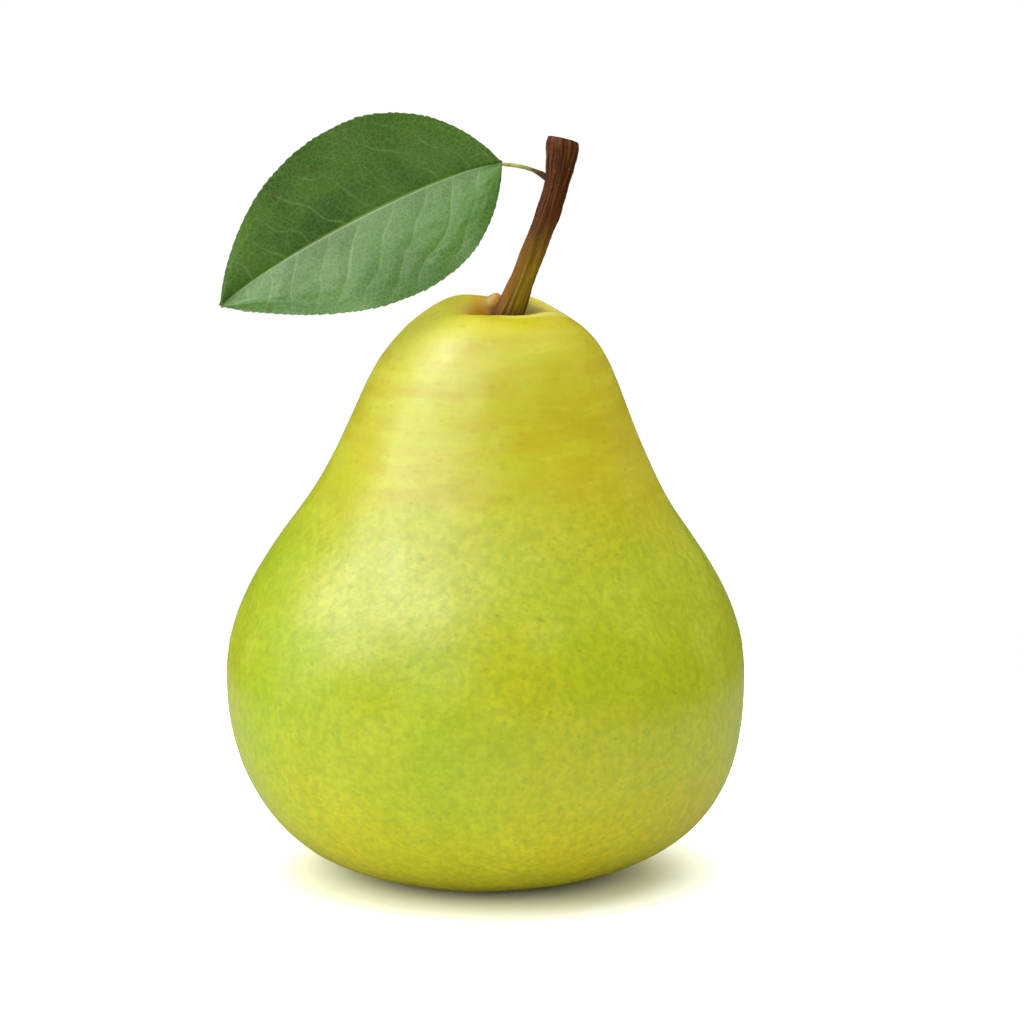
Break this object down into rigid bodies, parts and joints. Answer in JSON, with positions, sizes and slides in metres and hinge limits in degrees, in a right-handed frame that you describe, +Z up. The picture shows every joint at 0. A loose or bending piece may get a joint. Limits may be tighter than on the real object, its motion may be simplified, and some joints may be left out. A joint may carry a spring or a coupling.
{
  "type": "pear",
  "caption": "Broad green-yellow pear standing on its blossom end, with a curved woody stalk and a single toothed leaf on a thin leaf stalk.",
  "frame": {"origin": "on the surface the pear stands on, under the middle of the belly: the centre of the small flat ring round the blossom end", "axes": "+Z up along the fruit's axis to the stalk, +X to the side the stalk leans to, away from the leaf, -Y to the front, where the leaf's upper side looks"},
  "size_m": [0.0763, 0.0746, 0.1123],
  "materials": {
    "skin": "smooth waxy pear skin, green-yellow, mottled, satin",
    "bark": "ridged brown bark, matte",
    "leaf_stalk": "smooth yellow-green plant stem, brown at the woody end",
    "leaf": "satin green leaf with pale veins, paler and more matte underneath",
    "dried": "dried brown plant matter, matte"
  },
  "bodies": {
    "root": {"fruit": "skin", "stalk": "bark", "leaf_stalk": "leaf_stalk", "leaf_blade": "leaf", "stamens": "dried", "sepal_1": "dried", "sepal_2": "dried", "sepal_3": "dried", "sepal_4": "dried", "sepal_5": "dried"}
  },
  "joints": []
}
